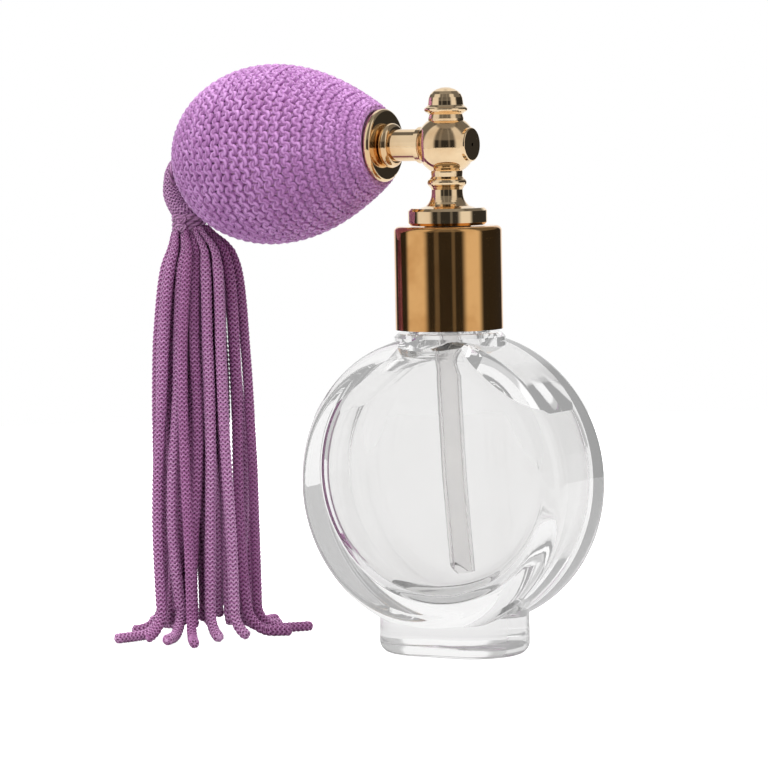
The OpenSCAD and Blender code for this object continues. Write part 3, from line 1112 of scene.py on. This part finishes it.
@dataclass
class TasselSkirt:
    """The hanging cords below the tie, the outer ones at a full length that ends lying on the table.

    Attributes:
        shape: The tassel's places.
        count: How many cords hang from the tie.
        bend: Radius that a cord turns through where it meets the table.
        outer_from: Share of the skirt's radius from which a cord counts as an outer one.
        odd_cord: Number of the one cord in the last dye shade.
        levels: Heights at which the cords are kept apart.
    """

    shape: TasselShape
    count: int = 30
    bend: float = 4.0 * MM
    levels: int = 48
    outer_from: float = 0.72
    odd_cord: int = 27
    stitch: float = 0.7 * MM
    sides: int = 24
    rings: int = 420

    def cords(self) -> List[SkirtCord]:
        """Chooses each cord's place, thickness and spare length.

        Returns:
            The cords, the outer ones last.
        """
        chance = random.Random(7)
        cords: List[SkirtCord] = []
        for n in range(self.count):
            rho = math.sqrt((n + 0.6) / self.count)
            angle = n * math.radians(137.508)
            outer = rho > self.outer_from
            spare = chance.uniform(1.0, 8.0) if outer else chance.uniform(-3.5, 0.4)
            cords.append(
                SkirtCord(
                    number=n + 1,
                    spot=np.array((math.cos(angle), math.sin(angle))) * rho,
                    diameter=chance.uniform(1.45, 1.78) * MM,
                    spare=spare * MM,
                    kick=math.radians(chance.uniform(14, 24)),
                )
            )
        return cords

    def width(self, z: float) -> float:
        """Gives the skirt's radius at a height.

        Args:
            z: The height.

        Returns:
            The radius.
        """
        heights = [0.0, 26.0, 43.0, 51.0, 55.5, 58.5, 60.2, 61.6, 63.0]
        radii = [8.9, 8.7, 8.0, 7.4, 7.1, 6.8, 6.0, 3.6, 2.4]
        return float(np.interp(z / MM, heights, radii)) * MM

    def _spread(self, cords: Sequence[SkirtCord]) -> Tuple[np.ndarray, np.ndarray]:
        """Finds where each cord hangs at each height, kept off its neighbours.

        Args:
            cords: The cords.

        Returns:
            The heights, and a place across for each cord at each of them.
        """
        top, foot = self.shape.tie_bottom + 1.2 * MM, self.bend
        z = np.linspace(top, foot, self.levels)
        chance = np.random.RandomState(23)
        middle = self.shape.skirt_centre
        drift = [middle - 0.2 * MM, middle + 0.3 * MM, self.shape.tie_centre.x + 0.3 * MM]
        centre = np.interp(z, [45 * MM, 59.5 * MM, self.shape.tie_bottom + 0.6 * MM], drift)
        room = np.array([self.width(v) for v in z])
        radius = np.array([c.diameter / 2 for c in cords])
        squeeze = self.squeeze(z)
        fall = (top - z) / (top - foot)
        wander = chance.uniform(-1, 1, (len(cords), 2, 3))
        across = np.zeros((len(cords), self.levels, 2))
        for n, cord in enumerate(cords):
            inside = room - radius[n] * squeeze
            path = cord.spot[None, :] * inside[:, None]
            for axis in range(2):
                for wave in range(3):
                    curve = np.sin((wave + 1) * 2.6 * fall + n)
                    path[:, axis] += wander[n, axis, wave] * 0.8 * MM * fall * curve
            across[n] = path
        target = across.copy()
        keep = 0.5 * (radius[:, None] + radius[None, :])
        for _ in range(90):
            gap = across[:, None] - across[None, :]
            far = np.linalg.norm(gap, axis=3) + 1e-9
            least = (2 * keep)[:, :, None] * squeeze[None, None, :]
            push = np.clip(least - far, 0, None) * 0.45
            for n in range(len(cords)):
                push[n, n] = 0
            across += (gap / far[..., None] * push[..., None]).sum(1)
            reach = np.linalg.norm(across, axis=2)
            limit = room[None, :] - radius[:, None] * squeeze[None, :]
            across *= np.minimum(1, limit / np.maximum(reach, 1e-9))[..., None]
            across[:, 1:-1] = 0.5 * across[:, 1:-1] + 0.25 * (across[:, :-2] + across[:, 2:])
            across += 0.04 * (target - across)
        across[:, :, 0] += centre[None, :]
        return z, across

    @staticmethod
    def squeeze(z: Union[float, np.ndarray]) -> np.ndarray:
        """Gives how far the tie narrows a cord at a height."""
        return np.interp(np.asarray(z) / MM, [56.5, 61.4], [1.0, 0.52])

    def _line(self, cord: SkirtCord, z: np.ndarray, across: np.ndarray) -> np.ndarray:
        """Draws one cord's centreline: down from the tie, round a soft bend and along the table.

        Args:
            cord: The cord.
            z: Heights, from the top down.
            across: Its place across at each height.

        Returns:
            The centreline's points.
        """
        hang = np.column_stack([across, z])
        radius = cord.diameter / 2
        rest = radius + 0.1 * MM
        foot = hang[-1].copy()
        centre = np.array((self.shape.skirt_centre, 0.0))
        radial = math.atan2(*(foot[:2] - centre)[::-1]) + cord.kick
        way = np.array((math.cos(radial), math.sin(radial), 0.0))
        drop = foot[2] - rest
        if cord.spare <= 0:
            end = foot - np.array((0, 0, drop)) + way * drop * 0.1 + np.array((0, 0, -cord.spare))
            if end[2] > foot[2]:
                hang, foot = hang[hang[:, 2] > end[2] + 0.5 * MM], end
                return respaced(np.vstack([hang, foot + way * 0.05 * MM]), self.rings)
            return respaced(np.vstack([hang, end]), self.rings)
        sharp = math.pi / 2
        full = self.bend * (sharp - 1)
        if cord.spare < full:
            low, high = 0.0, sharp
            for _ in range(30):
                sharp = (low + high) / 2
                taken = self.bend * (sharp - math.sin(sharp))
                low, high = (sharp, high) if taken < cord.spare else (low, sharp)
        turn = np.linspace(0, sharp, 14)
        start = foot - np.array((0, 0, drop - self.bend * math.sin(sharp)))
        outward, down = self.bend * (1 - np.cos(turn)), self.bend * np.sin(turn)
        arc = start + np.outer(outward, way) - np.outer(down, (0, 0, 1))
        parts = [hang[:-1], arc]
        if cord.spare > full:
            run = np.linspace(0, cord.spare - full, 8)[1:]
            parts.append(arc[-1] + np.outer(run, way))
        return respaced(np.vstack(parts), self.rings)

    def build(self, finishes: Sequence[Material]) -> List[Piece]:
        """Makes every hanging cord, attached to the tassel, in place of the imported skirt.

        Args:
            finishes: The dye shades, the last one for a single odd cord.

        Returns:
            The cords.
        """
        cords = self.cords()
        z, across = self._spread(cords)
        chance = random.Random(5)
        pieces: List[Piece] = []
        for cord in cords:
            line = self._line(cord, z, across[cord.number - 1])
            length = float(np.linalg.norm(np.diff(line, axis=0), axis=1).sum())
            radii = cord.diameter / 2 * self.squeeze(line[:, 2])
            along = np.linspace(0, length, self.rings)
            blunt = np.clip((length - along) / (0.5 * MM), 0, 1)
            radii = radii * np.sqrt(np.clip(1 - (1 - blunt) ** 2, 0.12, 1))
            face = np.array((*(cord.spot / (np.linalg.norm(cord.spot) + 1e-9)), 0.0))
            tilt = chance.uniform(0, 2 * math.pi)
            cosine, sine = math.cos(tilt), math.sin(tilt)
            turned = (face[0] * cosine - face[1] * sine, face[0] * sine + face[1] * cosine, 0.35)
            outward = np.tile(turned, (self.rings, 1))
            swell = chain_swell(along, self.stitch, self.sides)
            name = f"tassel_cord_{cord.number:02d}"
            if cord.number == self.odd_cord:
                shade = finishes[-1]
            else:
                shade = finishes[chance.randrange(len(finishes) - 1)]
            piece = thread_piece(name, [Thread(line, radii, outward, self.sides, False, swell)], shade)
            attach(piece, "tassel")
            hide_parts("tassel_skirt")
            pieces.append(piece)
        return pieces


@dataclass
class TasselTop:
    """The tassel's loop, the knitted sleeve above the tie, and the tie with its two knots."""

    shape: TasselShape
    tie_rise: float = 0.4 * MM
    sleeve_rings: int = 130
    sleeve_sides: int = 72

    def loop(self, finish: Material) -> Piece:
        """Makes the cord ring that hangs in the tail's eye.

        Args:
            finish: Its yarn.

        Returns:
            The loop.
        """
        middle = (np.array(self.shape.eye) + np.array(self.shape.pin)) / 2
        radius = (self.shape.eye - self.shape.pin).length / 2
        turn = np.linspace(0, 2 * math.pi, 72, endpoint=False)
        spoke = np.column_stack([np.zeros(72), np.sin(turn), np.cos(turn)])
        line = middle + radius * spoke
        thread = Thread(line, np.full(72, 0.34 * MM), spoke, 8, True)
        piece = thread_piece("tassel_loop_cord", [thread], finish)
        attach(piece, "loop")
        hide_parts("tassel_loop")
        return piece

    def head(self, finish: Material) -> Piece:
        """Makes the soft knitted sleeve that comes round from the bulb's tail and down into the tie.

        Args:
            finish: Its yarn.

        Returns:
            The sleeve.
        """
        x = self.shape.tie_centre.x / MM
        eye, pin = self.shape.eye / MM, self.shape.pin / MM
        middle = eased(
            [
                (eye.x + 0.1, 0, eye.z + 0.5),
                (eye.x - 0.55, 0, eye.z - 0.7),
                (eye.x - 0.75, 0, pin.z + 1.4),
                (eye.x - 0.6, 0, pin.z - 0.8),
                (eye.x + 0.3, 0, pin.z - 2.7),
                (x - 0.2, 0, self.shape.tie_top / MM),
                (x, 0, self.shape.tie_bottom / MM + 0.4),
            ],
            self.sleeve_rings,
        )
        share = np.linspace(0, 1, self.sleeve_rings)
        wide = np.interp(share, [0, 0.06, 0.2, 0.45, 0.75, 1], [0.5, 1.15, 1.75, 2.1, 2.1, 1.9])
        deep = np.interp(share, [0, 0.06, 0.2, 0.45, 0.75, 1], [0.4, 0.8, 1.3, 1.7, 1.75, 1.8])
        turn = np.arange(self.sleeve_sides) * 2 * math.pi / self.sleeve_sides
        oval = 1 / np.hypot(np.cos(turn)[None, :] / wide[:, None], np.sin(turn)[None, :] / deep[:, None])
        along = share * float(np.linalg.norm(np.diff(middle, axis=0), axis=1).sum())
        swell = oval * chain_swell(along, 0.62, self.sleeve_sides, 18, 0.05)
        side = np.tile((0.0, 1.0, 0.0), (self.sleeve_rings, 1))
        thread = Thread(middle * MM, np.full(self.sleeve_rings, MM), side, self.sleeve_sides, False, swell)
        piece = thread_piece("tassel_head_sleeve", [thread], finish)
        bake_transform(piece)
        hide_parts("tassel_head")
        return piece

    def tie(self, finish: Material) -> Piece:
        """Winds the tie cord four times round the bundle and knots it twice in front.

        Args:
            finish: Its yarn.

        Returns:
            The tie.
        """
        thick = 0.44 * MM
        low, high = self.shape.tie_bottom + self.tie_rise, self.shape.tie_top + self.tie_rise
        bottom, top = low + thick, high - thick
        turn = np.linspace(0, 4 * 2 * math.pi, 260)
        reach = self.shape.tie_radius - thick
        wobble = 0.06 * MM * np.sin(5 * turn)
        line = np.column_stack(
            [
                self.shape.tie_centre.x + reach * np.cos(turn),
                reach * np.sin(turn),
                np.interp(turn / turn[-1], [0, 0.2, 0.8, 1], [bottom, bottom, top, top]) + wobble,
            ]
        )
        outward = np.column_stack([np.cos(turn), np.sin(turn), np.zeros(260)])
        threads = [Thread(line, np.full(260, thick), outward, 8)]
        for height in (high - 0.9 * MM, low + 0.8 * MM):
            knot = np.linspace(0, 2 * math.pi, 60, endpoint=False)
            off = reach + 0.5 * MM
            centre = np.array((self.shape.tie_centre.x + 0.11 * off, -0.99 * off, height))
            size = 0.3 * MM
            wide = np.sin(knot) + 2 * np.sin(2 * knot)
            tall = np.cos(knot) - 2 * np.cos(2 * knot)
            trefoil = np.column_stack([wide, -0.55 * np.sin(3 * knot), tall])
            trefoil = trefoil * size * np.array((1.0, 1.2, 0.55))
            front = np.tile((0.0, -1.0, 0.02), (60, 1))
            threads.append(Thread(centre + trefoil, np.full(60, 0.28 * MM), front, 8, True))
        piece = thread_piece("tassel_tie_cord", threads, finish)
        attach(piece, "tassel")
        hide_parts("tassel_tie")
        return piece


# ---------------------------------------------------------------- carried-over parts


@dataclass
class CarriedParts:
    """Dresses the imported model's own parts in finished materials."""

    finishes: Dict[str, Material] = field(default_factory=dict)

    def dress(self) -> None:
        """Puts a finish on every part, in its own material slots."""
        for node, material in self.finishes.items():
            part = frame["nodes"][node]
            if not part.material_slots:
                part.data.materials.append(material)
            for slot in part.material_slots:
                slot.material = material
            log.info("dressed %s in %s", node, material.name)


def joint(name: str) -> Dict[str, object]:
    """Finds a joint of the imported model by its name."""
    return next(j for j in frame["joints"] if j["name"] == name)


def tassel_shape() -> TasselShape:
    """Reads the tassel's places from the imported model.

    Returns:
        The places.
    """
    low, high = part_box("tassel_tie")
    skirt_low, skirt_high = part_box("tassel_skirt")
    return TasselShape(
        eye=Vector(joint("tassel_sway")["pos_m"]),
        pin=Vector(joint("tassel_swing")["pos_m"]),
        tie_centre=(low + high) / 2,
        tie_radius=(high.y - low.y) / 2,
        tie_top=high.z,
        tie_bottom=low.z,
        skirt_centre=(skirt_low.x + skirt_high.x) / 2,
    )


def bulb_shape() -> BulbShape:
    """Reads the bulb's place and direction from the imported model.

    Returns:
        The bulb's shape.
    """
    low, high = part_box("flange_plate")
    return BulbShape(
        mouth=Vector((low.x, 0.0, (low.z + high.z) / 2)),
        axis=-Vector(joint("bulb_squeeze")["axis"]).normalized(),
    )


def finishes() -> Dict[str, Material]:
    """Makes every finish.

    Returns:
        The materials by name.
    """
    kinds = [
        PressedGlass(),
        PlatedGold("pale_gold", tone(240, 212, 172), tone(226, 190, 146)),
        PlatedGold("amber_gold", tone(226, 174, 112), tone(205, 150, 90), 0.06, 0.05),
        MouldedPart("white_plastic", tone(240, 238, 232), tone(228, 225, 216), 0.35),
        MouldedPart("tube_plastic", tone(252, 251, 250), tone(247, 246, 246), 0.16, 0.05, 0.94, ior=1.2),
        MouldedPart("seal_rubber", tone(60, 60, 60), tone(42, 42, 42), 0.55),
        MouldedPart("bulb_rubber", tone(196, 144, 182), tone(178, 122, 164), 0.6, 0.2, depth=0.00004),
        MouldedPart("nickel", tone(205, 205, 208), tone(190, 190, 194), 0.16, 0.08, metallic=1.0),
        MouldedPart("ball_steel", tone(190, 193, 198), tone(176, 180, 186), 0.08, 0.04, metallic=1.0),
        Yarn("lilac_knit", tone(206, 150, 210), tone(180, 119, 182), tone(146, 86, 146), sheen=0.7),
        Yarn("tie_yarn", tone(206, 158, 200), tone(164, 106, 156), tone(84, 34, 72), 3.0, 1.3),
        KnittedCord("tassel_light", tone(222, 168, 214), tone(168, 100, 156), tone(98, 22, 72)),
        KnittedCord("tassel_mid", tone(212, 154, 204), tone(158, 88, 144), tone(92, 18, 66)),
        KnittedCord("tassel_deep", tone(200, 138, 190), tone(146, 76, 132), tone(84, 14, 60)),
        KnittedCord("tassel_faded", tone(224, 172, 216), tone(174, 106, 162), tone(98, 24, 74)),
        KnittedCord(
            "sleeve_knit", tone(206, 156, 200), tone(156, 104, 152), tone(88, 40, 80), 18.0, 0.62, 0.0001
        ),
    ]
    return {kind.name: kind.material() for kind in kinds}


def main() -> None:
    """Builds the looks, piece by piece."""
    logging.basicConfig(level=logging.INFO, format="%(name)s: %(message)s")
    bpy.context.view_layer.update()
    studio = Studio()
    studio.camera()
    skin = finishes()
    tassel = tassel_shape()
    cord_shades = [skin[n] for n in ("tassel_light", "tassel_mid", "tassel_deep", "tassel_faded")]
    strands = TasselSkirt(tassel).build(cord_shades)
    log.info("hung %d tassel cords", len(strands))
    top = TasselTop(tassel)
    top.loop(skin["tie_yarn"])
    top.head(skin["sleeve_knit"])
    top.tie(skin["tie_yarn"])

    studio.floor()
    studio.light()
    bulb = bulb_shape()
    rubber = RubberBulb(bulb).build(skin["bulb_rubber"])
    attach(rubber, "head")
    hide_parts("rubber_bulb")
    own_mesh(rubber)
    for band in KnitCover(bulb).build(skin["lilac_knit"]):
        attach(band, "head")
        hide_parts("knit_cover")
        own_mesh(band)
        log.info("knitted %s, %d faces", band.name, len(band.data.polygons))

    worn = {
        "clear_glass": "glass_bottle",
        "amber_gold": "ferrule",
        "pale_gold": "spray_head finial nozzle_tip air_arm arm_ring flange_plate",
        "white_plastic": (
            "stem_core neck_gasket threaded_insert swivel_seat mixing_plug outlet_seat inlet_cage"
        ),
        "tube_plastic": "dip_tube",
        "seal_rubber": "swivel_seal",
        "nickel": "bulb_nipple inlet_valve tail_eye",
        "ball_steel": "outlet_ball inlet_ball",
    }
    CarriedParts({node: skin[name] for name, nodes in worn.items() for node in nodes.split()}).dress()


if __name__ == "__main__":
    main()
